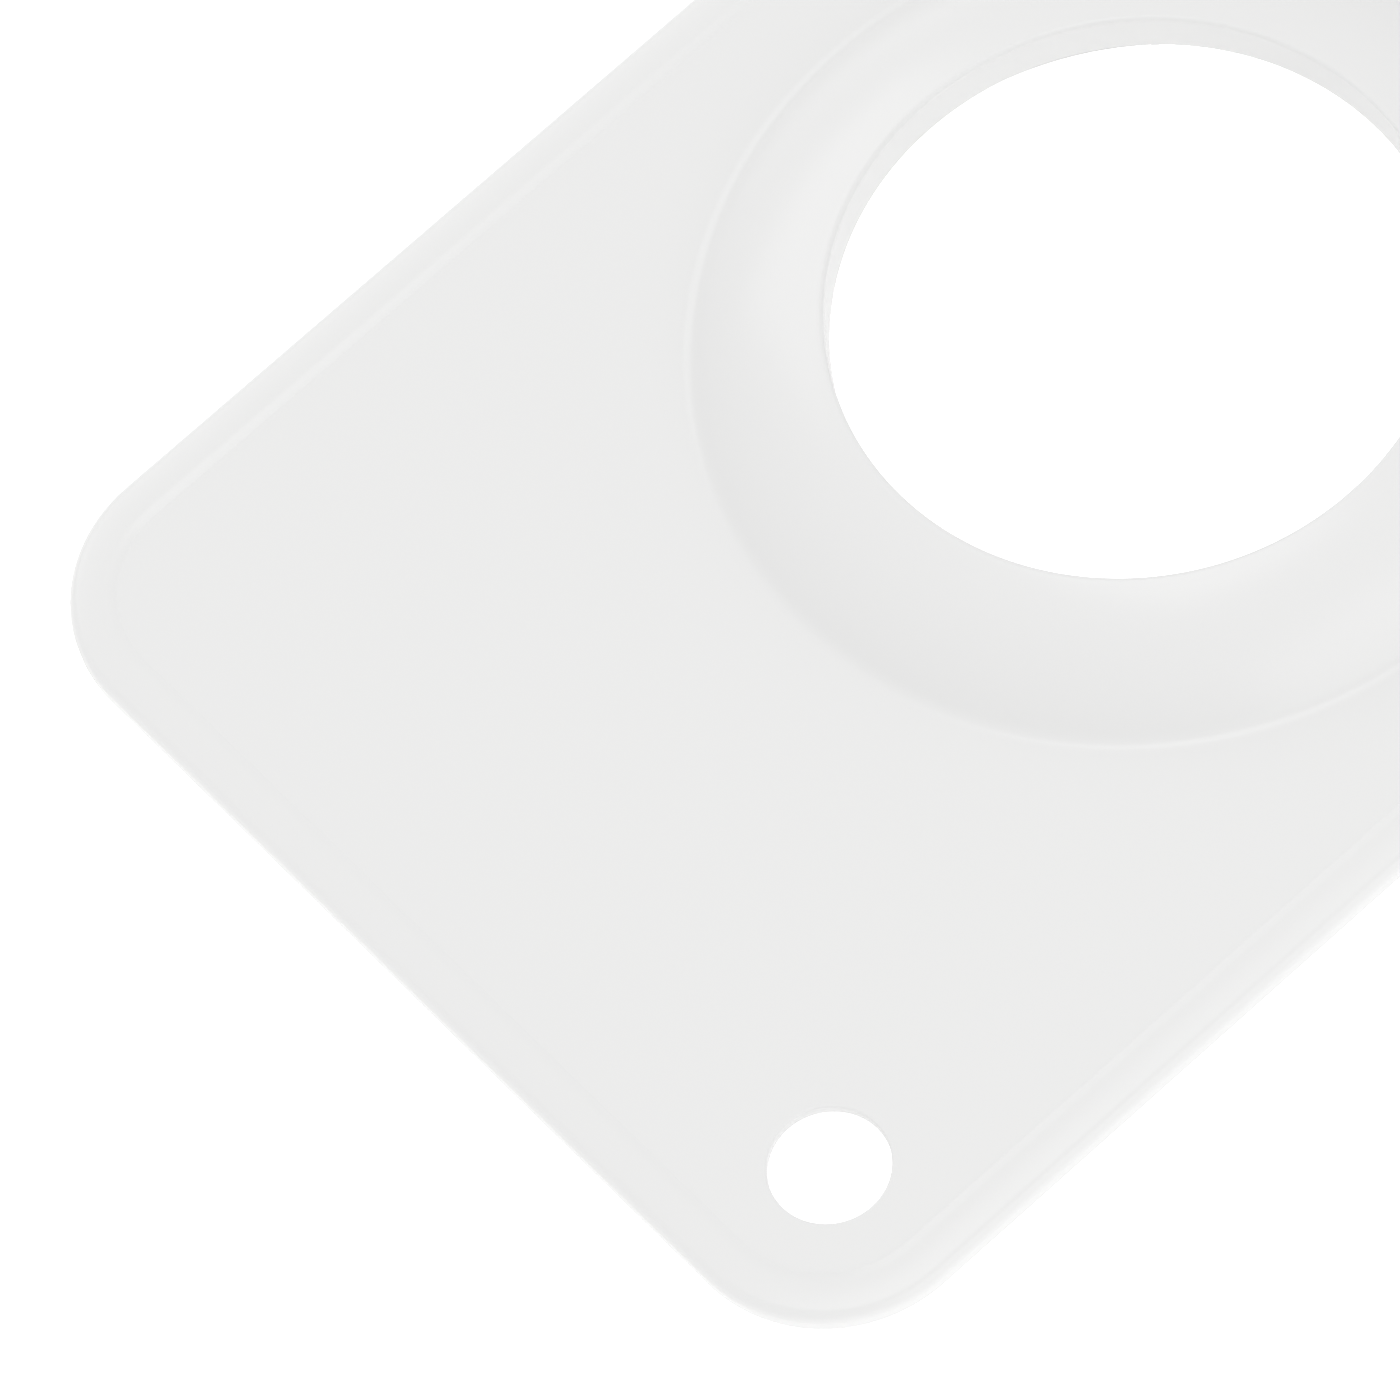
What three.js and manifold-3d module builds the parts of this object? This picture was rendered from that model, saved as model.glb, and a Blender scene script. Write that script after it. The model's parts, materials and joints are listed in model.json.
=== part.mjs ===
// A rectangular turntable tray on a ball bearing ring, in millimetres, +Z up.
//
// The origin is on the table, on the axis that the tray turns about. +X runs along the tray's long side.
// From the table up: foot pads, base ring, lower race, balls in their cage, upper race, tray. A retaining
// ring is screwed to the tray from below and hooks under the base ring's flange.

import * as THREE from 'three';
import { mergeVertices } from 'three/addons/utils/BufferGeometryUtils.js';
import Module from 'manifold-3d';

// ---------------------------------------------------------------- driving dimensions

const trayLength = 390;
const trayWidth = 240;
const cornerRadius = 32;
const sheet = 2.6;              // wall of the moulding
const plateHeight = 5;          // plate's top face above the bottom edge of the skirt
const edgeRound = 2.5;          // outer edge of the rim
const innerRound = 1;           // where the skirt meets the plate's underside
const rimRise = 0.6;            // rim's crest above the plate
const rimCrown = 0.3;           // rim's crest above its outer edge
const rimCrestInset = 7;        // outline to crest
const rimFootInset = 9.7;       // outline to where the rim steps down to the plate

const openingRadius = 61;
const bossWidth = 30;           // opening's edge to the foot of the boss
const bossRise = 15;            // boss's lip above the plate
const bossFoot = 3;             // width of the boss's hollow foot
const bossLipSlope = 0.25;      // rise over run where the boss meets its lip
const boreHeight = 10.8;        // wall of the opening, from the lip down
const lipRound = 1;
const bossOverlap = 2;          // strip of the plate that is moulded with the boss
const fingerHoleRadius = 12;

const ribThickness = 1.6;
const ribDepth = 1.8;
const boreRibCount = 8;         // radial ribs inside the boss
const ribOverlap = 0.3;         // how far these run into the wall of the opening
const endRibOffset = 45;        // ribs along the tray, each side of its middle line
const crossRibInset = 70;       // ribs across the tray, from each end

const ballRadius = 3;
const ballCount = 20;
const flangeGap = 1.8;          // base ring's flange to the plate's underside
const seatInset = 8.9;          // foot of the boss to the lip that centres the upper race
const raceLip = 1.2;            // depth of that lip
const grooveDepth = 1;
const raceThickness = 2.4;
const raceEdge = 1.8;           // flat of a race beside the balls
const cageThickness = 1.6;
const cageEdge = 1.2;           // cage beside its pockets

const baseFloor = 3;
const baseWall = 1.8;
const flangeWidth = 6;
const flangeThickness = 2;
const padCount = 6;
const padRadius = 4.5;
const padHeight = 2;
const padRecess = 0.8;
const padChamfer = 0.5;

const screwCount = 6;
const screwShankRadius = 1.3;
const screwHeadRadius = 2.7;
const screwHeadHeight = 1.5;
const screwLength = 5.8;        // under the head
const screwBossWall = 2;
const retainerThickness = 3;
const retainerMargin = 3.8;     // ring's outer edge beyond the screws' circle

const runningGap = 0.6;         // between pieces that move past each other
const rollingGap = 0.3;         // ball to groove and ball to pocket
const seatGap = 0.3;            // sideways, between a piece and its seat
const cutMargin = 1;            // how far a cut runs past the face that it opens

const ringSegments = 40;
const openingSegments = 48;
const cornerSegments = 8;
const padSegments = 16;
const smallSegments = 10;
const slopeSteps = 9;           // boss's top face, foot to lip
const edgeSteps = 4;
const rimSteps = 3;
const roundSteps = 2;

// ---------------------------------------------------------------- sizes that follow

const halfLength = trayLength / 2;
const halfWidth = trayWidth / 2;
const bossFootRadius = openingRadius + bossWidth;
const lipHeight = plateHeight + bossRise;
const raceHalfWidth = ballRadius + raceEdge;
const cageHalfWidth = ballRadius + rollingGap + cageEdge;
const pitchRadius = bossFootRadius - seatInset - seatGap - raceHalfWidth;
const raceInner = pitchRadius - raceHalfWidth;
const raceOuter = pitchRadius + raceHalfWidth;

const baseBottom = padHeight - padRecess;
const baseTop = baseBottom + baseFloor;
const lowerRaceTop = baseTop + raceThickness;
const ballHeight = lowerRaceTop + ballRadius - grooveDepth + rollingGap;
const upperRaceBottom = ballHeight + ballRadius - grooveDepth + rollingGap;
const seatHeight = upperRaceBottom + raceThickness;

const channelInner = raceInner - seatGap;
const channelOuter = raceOuter + seatGap;
const baseInner = channelInner - baseWall;
const baseOuter = channelOuter + baseWall;
const flangeOuter = baseOuter + flangeWidth;
const flangeTop = ballHeight;
const flangeBottom = flangeTop - flangeThickness;

const retainerTop = flangeBottom - runningGap;
const retainerBottom = retainerTop - retainerThickness;
const retainerInner = baseOuter + runningGap;
const screwBossRadius = screwShankRadius + seatGap + screwBossWall;
const screwCircle = flangeOuter + runningGap + screwBossRadius;
const retainerOuter = screwCircle + retainerMargin;
const screwSeat = retainerBottom + screwHeadHeight;

// Heights in the tray's own frame, which starts at the bottom edge of its skirt.
const underside = plateHeight - sheet;
const trayBottom = flangeTop + flangeGap - underside;
const seatInTray = seatHeight - trayBottom;

const screwAngles = spread(screwCount);
const padAngles = spread(padCount, 0.5);        // halfway between the screws

// ---------------------------------------------------------------- materials

const whitePlastic = { color: 0xf1f1f0, roughness: 0.32, metalness: 0 };
const nylon = { color: 0xe6e2d6, roughness: 0.5, metalness: 0 };
const steel = { color: 0xc4c7ca, roughness: 0.28, metalness: 1 };
const rubber = { color: 0xb9babb, roughness: 0.85, metalness: 0 };

// ---------------------------------------------------------------- solids and booleans

const wasm = await Module();
wasm.setup();

function solid(geometry) {
  const bare = geometry.index ? geometry.clone() : geometry;
  bare.deleteAttribute('normal');
  bare.deleteAttribute('uv');
  const merged = mergeVertices(bare, 1e-4);
  const vertProperties = new Float32Array(merged.attributes.position.array);
  const triVerts = new Uint32Array(merged.index.array);
  return new wasm.Manifold(new wasm.Mesh({ numProp: 3, vertProperties, triVerts }));
}

function toGeometry(body) {
  const mesh = body.getMesh();
  const geometry = new THREE.BufferGeometry();
  geometry.setAttribute('position', new THREE.BufferAttribute(mesh.vertProperties, 3));
  geometry.setIndex(new THREE.BufferAttribute(mesh.triVerts, 1));
  geometry.computeVertexNormals();
  return geometry;
}

// A profile is a list of [radius, height], counter-clockwise. It is turned about Z.
function turned(profile, segments) {
  const closed = [...profile, profile[0]];
  const onAxis = profile[0][0] === 0 && profile.at(-1)[0] === 0;
  const points = (onAxis ? profile : closed).map(([radius, height]) => new THREE.Vector2(radius, height));
  return new THREE.LatheGeometry(points, segments).rotateX(Math.PI / 2);
}

function ring(inner, outer, bottom, top, segments) {
  return turned([[inner, bottom], [outer, bottom], [outer, top], [inner, top]], segments);
}

function disc(radius, bottom, top, segments) {
  return turned([[0, bottom], [radius, bottom], [radius, top], [0, top]], segments);
}

function block(x0, x1, y0, y1, z0, z1) {
  const box = new THREE.BoxGeometry(x1 - x0, y1 - y0, z1 - z0);
  return box.translate((x0 + x1) / 2, (y0 + y1) / 2, (z0 + z1) / 2);
}

function onCircle(geometry, radius, angle) {
  return geometry.translate(radius * Math.cos(angle), radius * Math.sin(angle), 0);
}

function spread(count, phase = 0) {
  return Array.from({ length: count }, (_, i) => (2 * Math.PI * (i + phase)) / count);
}

function arc(cx, cy, rx, ry, from, to, steps) {
  return Array.from({ length: steps + 1 }, (_, i) => {
    const angle = THREE.MathUtils.degToRad(from + ((to - from) * i) / steps);
    return [cx + rx * Math.cos(angle), cy + ry * Math.sin(angle)];
  });
}

// The tray's outline, moved inwards by inset: points at one height, counter-clockwise.
function outline(inset, height) {
  const radius = cornerRadius - inset;
  const cx = halfLength - cornerRadius;
  const cy = halfWidth - cornerRadius;
  const corners = [[cx, cy, 0], [-cx, cy, 90], [-cx, -cy, 180], [cx, -cy, 270]];
  return corners.flatMap(([x, y, start]) =>
    arc(x, y, radius, radius, start, start + 90, cornerSegments).map(([px, py]) => [px, py, height]));
}

// A closed body through a stack of outlines, given as [inset, height] from the bottom face to the top one.
function stacked(levels) {
  const rings = levels.map(([inset, height]) => outline(inset, height));
  const count = rings[0].length;
  const index = [];
  for (let level = 0; level + 1 < rings.length; level += 1) {
    for (let i = 0; i < count; i += 1) {
      const a = level * count + i;
      const b = level * count + ((i + 1) % count);
      index.push(a, b, b + count, a, b + count, a + count);
    }
  }
  const top = (rings.length - 1) * count;
  for (let i = 1; i + 1 < count; i += 1) {
    index.push(0, i + 1, i);
    index.push(top, top + i, top + i + 1);
  }
  const geometry = new THREE.BufferGeometry();
  geometry.setAttribute('position', new THREE.Float32BufferAttribute(rings.flat(2), 3));
  geometry.setIndex(index);
  return geometry;
}

// ---------------------------------------------------------------- tray

// Skirt, rounded outer edge, crowned top of the rim and its step down to the plate.
function rimLevels() {
  const crest = plateHeight + rimRise;
  const edgeTop = crest - rimCrown;
  const edge = arc(edgeRound, edgeTop - edgeRound, edgeRound, edgeRound, 180, 90, rimSteps);
  const step = [0, 0.5, 1].map((t) => [
    rimCrestInset + (rimFootInset - rimCrestInset) * t,
    plateHeight + rimRise * Math.cos((Math.PI * t) / 2),
  ]);
  return [[0, 0], ...edge, ...step];
}

// The hollow under the plate, inside the skirt.
function hollowLevels() {
  return [
    [sheet, -cutMargin],
    ...arc(sheet + innerRound, underside - innerRound, innerRound, innerRound, 180, 90, roundSteps),
  ];
}

// Height of the boss's top face above the plate at a radius: a hollow foot, then a slope that is steepest at
// the foot and eases towards the lip.
function bossHeight(radius) {
  const reach = bossFootRadius - radius;
  const width = bossWidth - lipRound;
  const easing = width - bossFoot;
  const footSlope = (bossRise - (bossLipSlope * easing) / 2) / (width / 2);
  if (reach < bossFoot) return (footSlope * reach ** 2) / (2 * bossFoot);
  const beyond = reach - bossFoot;
  return footSlope * (bossFoot / 2 + beyond) - ((footSlope - bossLipSlope) * beyond ** 2) / (2 * easing);
}

// The boss's top face as [radius, height], from its foot to the start of the lip.
function bossTopFace() {
  return Array.from({ length: slopeSteps + 1 }, (_, i) => {
    const radius = bossFootRadius - ((bossWidth - lipRound) * i) / slopeSteps;
    return [radius, plateHeight + bossHeight(radius)];
  });
}

// Wall of the boss: its top face from foot to lip, the rounded lip, the bore, and back along the underside.
function bossProfile() {
  const innerFace = openingRadius + sheet;
  const boreBottom = lipHeight - boreHeight;
  const lipCentre = [openingRadius + lipRound, lipHeight - lipRound];
  const lip = arc(...lipCentre, lipRound, lipRound, 90, 180, roundSteps).slice(1);
  const chamfer = sheet / 2;
  const under = bossTopFace().filter(([radius]) => radius > innerFace + sheet).reverse();
  return [
    [bossFootRadius + bossOverlap, plateHeight],
    ...bossTopFace(),
    ...lip,
    [openingRadius, boreBottom],
    [innerFace, boreBottom],
    [innerFace, lipHeight - sheet - chamfer],
    [innerFace + chamfer, lipHeight - sheet],
    ...under.map(([radius, height]) => [radius, height - sheet]),
    [bossFootRadius + bossOverlap, underside],
  ];
}

// Walls under the boss that carry the upper race, with a lip outside the race that centres it, and ribs.
// They reach up past the boss's wall, and the tray trims them to the middle of that wall.
function raceSeat() {
  const wall = sheet / 2;
  const lipInner = raceOuter + seatGap;
  const lipBottom = seatInTray - raceLip;
  const inner = ring(raceInner, raceInner + wall, seatInTray, lipHeight, openingSegments);
  const outer = turned(
    [
      [raceOuter - wall, seatInTray],
      [lipInner, seatInTray],
      [lipInner, lipBottom],
      [lipInner + wall, lipBottom],
      [lipInner + wall, lipHeight],
      [raceOuter - wall, lipHeight],
    ],
    openingSegments);
  const from = openingRadius + sheet - ribOverlap;
  const ribs = spread(boreRibCount).map((angle) => {
    const rib = block(from, raceOuter, -ribThickness / 2, ribThickness / 2, seatInTray, lipHeight);
    return solid(rib.rotateZ(angle));
  });
  return [solid(inner), solid(outer), ...ribs];
}

// The space under the boss, up to the middle of its wall.
function underBoss() {
  const innerFace = openingRadius + sheet / 2;
  const middle = bossTopFace().map(([radius, height]) => [radius, height - sheet / 2]);
  return turned([[innerFace, 0], [bossFootRadius, 0], ...middle, [innerFace, middle.at(-1)[1]]], openingSegments);
}

function plateRibs() {
  const low = underside - ribDepth;
  const high = underside + sheet / 2;
  const half = ribThickness / 2;
  const endX = halfLength - sheet / 2;
  const endY = halfWidth - sheet / 2;
  const crossX = halfLength - crossRibInset;
  const ribs = [];
  for (const side of [-1, 1]) {
    ribs.push(block(-endX, endX, side * endRibOffset - half, side * endRibOffset + half, low, high));
    ribs.push(block(side * crossX - half, side * crossX + half, -endY, endY, low, high));
  }
  return ribs.map(solid);
}

function screwBosses() {
  const low = retainerTop - trayBottom;
  const high = underside + sheet / 2;
  return screwAngles.map((angle) =>
    solid(onCircle(disc(screwBossRadius, low, high, padSegments), screwCircle, angle)));
}

function pilotHoles() {
  const low = retainerTop - trayBottom - cutMargin;
  const high = screwSeat + screwLength + seatGap - trayBottom;
  return screwAngles.map((angle) =>
    solid(onCircle(disc(screwShankRadius + seatGap, low, high, smallSegments), screwCircle, angle)));
}

function tray() {
  const clearance = screwCircle - ribThickness / 2;
  const collarTop = underside + sheet / 2;
  const collar = ring(clearance, clearance + ribThickness, underside - ribDepth, collarTop, openingSegments);
  const clear = disc(clearance, -lipHeight, underside, openingSegments);
  const hole = disc(fingerHoleRadius, -cutMargin, lipHeight, openingSegments / 2);
  const holeX = -halfLength + cornerRadius;
  const holeY = -halfWidth + cornerRadius;

  let body = solid(stacked(rimLevels())).subtract(solid(stacked(hollowLevels())));
  let ribs = solid(collar);
  for (const rib of plateRibs()) ribs = ribs.add(rib.subtract(solid(clear)));
  body = body.add(ribs);
  const bossSpace = disc(bossFootRadius + bossOverlap / 2, -cutMargin, lipHeight, openingSegments);
  body = body.subtract(solid(bossSpace));
  body = body.add(solid(turned(bossProfile(), openingSegments)));

  let seat = raceSeat().reduce((sum, piece) => sum.add(piece));
  seat = seat.intersect(solid(underBoss()));
  body = body.add(seat);
  for (const boss of screwBosses()) body = body.add(boss);
  for (const pilot of pilotHoles()) body = body.subtract(pilot);
  return toGeometry(body.subtract(solid(hole.translate(holeX, holeY, 0))));
}

// ---------------------------------------------------------------- bearing

// Flat ring with a round groove in its top face, from z = 0 up.
function race() {
  const grooveRadius = ballRadius + rollingGap;
  const centre = raceThickness + ballRadius - grooveDepth + rollingGap;
  const reach = THREE.MathUtils.radToDeg(Math.acos((centre - raceThickness) / grooveRadius));
  const groove = arc(pitchRadius, centre, grooveRadius, grooveRadius, 270 + reach, 270 - reach, edgeSteps);
  return turned(
    [[raceInner, 0], [raceOuter, 0], [raceOuter, raceThickness], ...groove, [raceInner, raceThickness]],
    ringSegments);
}

function ballCage() {
  const plate = ring(
    pitchRadius - cageHalfWidth, pitchRadius + cageHalfWidth, -cageThickness / 2, cageThickness / 2, ringSegments);
  let body = solid(plate);
  for (const angle of spread(ballCount)) {
    const pocket = disc(ballRadius + rollingGap, -cageThickness, cageThickness, smallSegments);
    body = body.subtract(solid(onCircle(pocket, pitchRadius, angle)));
  }
  return toGeometry(body);
}

function ball() {
  return new THREE.SphereGeometry(ballRadius, smallSegments, smallSegments / 2).rotateX(Math.PI / 2);
}

// ---------------------------------------------------------------- base and retaining ring

// Channel for the lower race, with a flange around its outer wall and a recess for each pad.
function baseRing() {
  const profile = [
    [baseInner, baseBottom],
    [baseOuter, baseBottom],
    [baseOuter, flangeBottom],
    [flangeOuter, flangeBottom],
    [flangeOuter, flangeTop],
    [channelOuter, flangeTop],
    [channelOuter, baseTop],
    [channelInner, baseTop],
    [channelInner, flangeTop],
    [baseInner, flangeTop],
  ];
  let body = solid(turned(profile, ringSegments));
  for (const angle of padAngles) {
    const recess = disc(padRadius + seatGap, 0, padHeight, padSegments);
    body = body.subtract(solid(onCircle(recess, pitchRadius, angle)));
  }
  return toGeometry(body);
}

function footPad() {
  return turned(
    [[0, 0], [padRadius - padChamfer, 0], [padRadius, padChamfer], [padRadius, padHeight], [0, padHeight]],
    padSegments);
}

function retainingRing() {
  let body = solid(ring(retainerInner, retainerOuter, retainerBottom, retainerTop, openingSegments));
  for (const angle of screwAngles) {
    const hole = disc(screwShankRadius + seatGap, 0, ballHeight, smallSegments);
    const counterbore = disc(screwHeadRadius + seatGap, 0, screwSeat, padSegments);
    body = body.subtract(solid(onCircle(hole, screwCircle, angle)));
    body = body.subtract(solid(onCircle(counterbore, screwCircle, angle)));
  }
  return toGeometry(body);
}

// Head down, with the underside of the head at z = 0.
function screw() {
  return turned(
    [
      [0, -screwHeadHeight],
      [screwHeadRadius, -screwHeadHeight],
      [screwHeadRadius, 0],
      [screwShankRadius, 0],
      [screwShankRadius, screwLength],
      [0, screwLength],
    ],
    smallSegments);
}

// ---------------------------------------------------------------- assembly

function piece(name, geometry, finish, place = {}) {
  const mesh = new THREE.Mesh(geometry, new THREE.MeshStandardMaterial(finish));
  mesh.name = name;
  mesh.position.set(place.x ?? 0, place.y ?? 0, place.z ?? 0);
  return mesh;
}

function around(name, geometry, finish, radius, angles, z) {
  const digits = String(angles.length).length;
  return angles.map((angle, i) => piece(
    `${name}_${String(i + 1).padStart(digits, '0')}`, geometry, finish,
    { x: radius * Math.cos(angle), y: radius * Math.sin(angle), z }));
}

const standing = new THREE.Group();
standing.add(piece('base_ring', baseRing(), whitePlastic));
standing.add(piece('lower_race', race(), steel, { z: baseTop }));
standing.add(...around('foot_pad', footPad(), rubber, pitchRadius, padAngles, 0));

const rolling = new THREE.Group();
rolling.position.z = ballHeight;
rolling.add(piece('ball_cage', ballCage(), nylon));
rolling.add(...around('ball', ball(), steel, pitchRadius, spread(ballCount), 0));

const turning = new THREE.Group();
turning.add(piece('tray', tray(), whitePlastic, { z: trayBottom }));
const upperRace = piece('upper_race', race(), steel, { z: seatHeight });
upperRace.rotation.x = Math.PI;
turning.add(upperRace);
turning.add(piece('retaining_ring', retainingRing(), whitePlastic));
turning.add(...around('retainer_screw', screw(), steel, screwCircle, screwAngles, screwSeat));

const group = new THREE.Group();
group.add(standing, rolling, turning);

export default group;
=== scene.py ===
"""A rectangular turntable tray on a ball bearing ring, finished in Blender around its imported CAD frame.

Metres, +Z up, with the origin on the table, on the axis that the tray turns about. Every piece stands for
one CAD node and takes its place from that node's box.
"""

import json
import math

import bmesh
import bpy
from bpy.props import FloatProperty, FloatVectorProperty, IntProperty, PointerProperty
from mathutils import Matrix, Vector

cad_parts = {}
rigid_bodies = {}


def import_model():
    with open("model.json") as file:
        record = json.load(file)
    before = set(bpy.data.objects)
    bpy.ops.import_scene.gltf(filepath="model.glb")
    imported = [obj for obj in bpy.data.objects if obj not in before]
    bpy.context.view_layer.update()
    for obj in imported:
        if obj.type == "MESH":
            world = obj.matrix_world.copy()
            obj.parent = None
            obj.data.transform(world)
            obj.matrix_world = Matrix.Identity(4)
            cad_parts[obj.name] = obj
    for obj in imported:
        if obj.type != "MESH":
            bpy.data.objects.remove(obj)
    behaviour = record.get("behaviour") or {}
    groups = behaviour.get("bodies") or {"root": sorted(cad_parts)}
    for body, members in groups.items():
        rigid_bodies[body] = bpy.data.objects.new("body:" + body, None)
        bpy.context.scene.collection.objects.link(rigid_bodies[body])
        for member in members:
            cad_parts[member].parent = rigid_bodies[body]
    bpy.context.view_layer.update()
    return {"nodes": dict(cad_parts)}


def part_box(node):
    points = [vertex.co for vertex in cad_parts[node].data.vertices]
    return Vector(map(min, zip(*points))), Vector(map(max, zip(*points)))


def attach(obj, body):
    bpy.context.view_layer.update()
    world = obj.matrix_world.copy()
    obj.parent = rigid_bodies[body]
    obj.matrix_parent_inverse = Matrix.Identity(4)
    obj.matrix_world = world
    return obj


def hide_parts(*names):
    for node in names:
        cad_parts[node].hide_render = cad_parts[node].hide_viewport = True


bl_info = {
    "name": "Turntable Tray",
    "version": (1, 0, 0),
    "blender": (4, 5, 0),
    "location": "3D View > Sidebar > Turntable",
    "description": "Builds a moulded turntable tray, its ball bearing ring and a white studio",
    "category": "Add Mesh",
}

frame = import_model()

MM = 0.001


def named(start):
    """The frame's nodes whose name is this start and a number, in order."""
    return sorted(
        name for name in frame["nodes"]
        if name.startswith(start) and name[len(start):].isdigit())


def middle(node):
    """Middle of a node's box."""
    low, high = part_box(node)
    return (low + high) / 2


BALLS = named("ball_")
PADS = named("foot_pad_")
SCREWS = named("retainer_screw_")

tray_low, tray_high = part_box("tray")
base_low, base_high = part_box("base_ring")
lower_low, lower_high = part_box("lower_race")
upper_low, upper_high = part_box("upper_race")
cage_low, cage_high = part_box("ball_cage")
retainer_low, retainer_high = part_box("retaining_ring")
ball_low, ball_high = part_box(BALLS[0])

PITCH_RADIUS = middle(BALLS[0]).xy.length
BALL_HEIGHT = middle(BALLS[0]).z
SCREW_CIRCLE = middle(SCREWS[0]).xy.length


# ------------------------------------------------------------------ sizes and finishes

class TraySizes(bpy.types.PropertyGroup):
    """Sizes of the moulded tray."""

    length: FloatProperty(
        name="Length", description="Tray's long side", default=tray_high.x - tray_low.x, unit="LENGTH")
    width: FloatProperty(
        name="Width", description="Tray's short side", default=tray_high.y - tray_low.y, unit="LENGTH")
    corner_radius: FloatProperty(
        name="Corner radius", description="Round of the tray's corners", default=32 * MM, unit="LENGTH")
    sheet: FloatProperty(
        name="Sheet", description="Wall of the moulding", default=2.6 * MM, unit="LENGTH")
    plate_height: FloatProperty(
        name="Plate height", description="Plate above the skirt's bottom edge", default=5 * MM,
        unit="LENGTH")
    edge_round: FloatProperty(
        name="Edge round", description="Outer edge of the rim", default=2.5 * MM, unit="LENGTH")
    inner_round: FloatProperty(
        name="Inner round", description="Where the skirt meets the plate's underside", default=1 * MM,
        unit="LENGTH")
    rim_rise: FloatProperty(
        name="Rim rise", description="Crest of the rim above the plate", default=0.6 * MM, unit="LENGTH")
    rim_crown: FloatProperty(
        name="Rim crown", description="Crest of the rim above its outer edge", default=0.3 * MM,
        unit="LENGTH")
    rim_crest_inset: FloatProperty(
        name="Rim crest inset", description="Outline to the rim's crest", default=7 * MM, unit="LENGTH")
    rim_foot_inset: FloatProperty(
        name="Rim foot inset", description="Outline to the rim's inner foot", default=9.7 * MM,
        unit="LENGTH")
    opening_radius: FloatProperty(
        name="Opening radius", description="Round opening in the middle", default=61 * MM, unit="LENGTH")
    boss_width: FloatProperty(
        name="Boss width", description="Opening's edge to the foot of the boss", default=30 * MM,
        unit="LENGTH")
    boss_rise: FloatProperty(
        name="Boss rise", description="Boss's lip above the plate", default=15 * MM, unit="LENGTH")
    boss_foot: FloatProperty(
        name="Boss foot", description="Width of the boss's hollow foot", default=3 * MM, unit="LENGTH")
    boss_lip_slope: FloatProperty(
        name="Boss lip slope", description="Rise over run where the boss meets its lip", default=0.25,
        min=0.0)
    bore_height: FloatProperty(
        name="Bore height", description="Wall of the opening", default=10.8 * MM, unit="LENGTH")
    lip_round: FloatProperty(
        name="Lip round", description="Round of the opening's edge", default=1 * MM, unit="LENGTH")
    finger_hole_radius: FloatProperty(
        name="Finger hole radius", description="Hole in one corner", default=12 * MM, unit="LENGTH")
    finger_hole_round: FloatProperty(
        name="Finger hole round", description="Round of that hole's edge", default=0.5 * MM, unit="LENGTH")
    bottom_round: FloatProperty(
        name="Bottom round", description="Round of the skirt's bottom edge", default=0.7 * MM,
        unit="LENGTH")
    rib_thickness: FloatProperty(
        name="Rib thickness", description="Ribs under the plate", default=1.6 * MM, unit="LENGTH")
    rib_depth: FloatProperty(
        name="Rib depth", description="Ribs below the plate's underside", default=1.8 * MM, unit="LENGTH")
    rib_fillet: FloatProperty(
        name="Rib fillet", description="Fillet at a rib's root", default=0.6 * MM, unit="LENGTH")
    end_rib_offset: FloatProperty(
        name="Long rib offset", description="Long ribs from the middle line", default=45 * MM,
        unit="LENGTH")
    cross_rib_inset: FloatProperty(
        name="Cross rib inset", description="Cross ribs from the tray's ends", default=70 * MM,
        unit="LENGTH")
    bore_ribs: IntProperty(
        name="Bore ribs", description="Radial ribs inside the boss", default=8, min=3)
    rib_overlap: FloatProperty(
        name="Rib overlap", description="Radial ribs into the wall of the opening", default=0.3 * MM,
        unit="LENGTH")


class BearingSizes(bpy.types.PropertyGroup):
    """Sizes of the bearing, the base ring and what holds them."""

    ball_radius: FloatProperty(
        name="Ball radius", description="Bearing ball", default=(ball_high.z - ball_low.z) / 2,
        unit="LENGTH")
    groove_gap: FloatProperty(
        name="Groove gap", description="Play between ball and groove", default=0.05 * MM, unit="LENGTH")
    pocket_gap: FloatProperty(
        name="Pocket gap", description="Play between ball and cage pocket", default=0.3 * MM, unit="LENGTH")
    seat_gap: FloatProperty(
        name="Seat gap", description="Sideways, between a piece and its seat", default=0.3 * MM,
        unit="LENGTH")
    running_gap: FloatProperty(
        name="Running gap", description="Between pieces that move past each other", default=0.6 * MM,
        unit="LENGTH")
    edge_round: FloatProperty(
        name="Edge round", description="Round of moulded edges", default=0.4 * MM, unit="LENGTH")
    race_lip: FloatProperty(
        name="Race lip", description="Lip that centres the upper race", default=1.2 * MM, unit="LENGTH")
    base_wall: FloatProperty(
        name="Base wall", description="Walls of the base ring's channel", default=1.8 * MM, unit="LENGTH")
    flange_thickness: FloatProperty(
        name="Flange thickness", description="Flange of the base ring", default=2 * MM, unit="LENGTH")
    pad_recess: FloatProperty(
        name="Pad recess", description="Depth of a pad's recess in the base ring", default=0.8 * MM,
        unit="LENGTH")
    screw_head_radius: FloatProperty(
        name="Screw head radius", description="Pan head", default=2.7 * MM, unit="LENGTH")
    screw_head_height: FloatProperty(
        name="Screw head height", description="Pan head", default=1.5 * MM, unit="LENGTH")
    screw_shank_radius: FloatProperty(
        name="Screw shank radius", description="Crest of the thread", default=1.3 * MM, unit="LENGTH")
    screw_core_radius: FloatProperty(
        name="Screw core radius", description="Root of the thread", default=0.95 * MM, unit="LENGTH")
    thread_pitch: FloatProperty(
        name="Thread pitch", description="Rise of the thread in one turn", default=1.0 * MM, unit="LENGTH")
    screw_boss_wall: FloatProperty(
        name="Screw boss wall", description="Around a pilot hole", default=2 * MM, unit="LENGTH")


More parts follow.
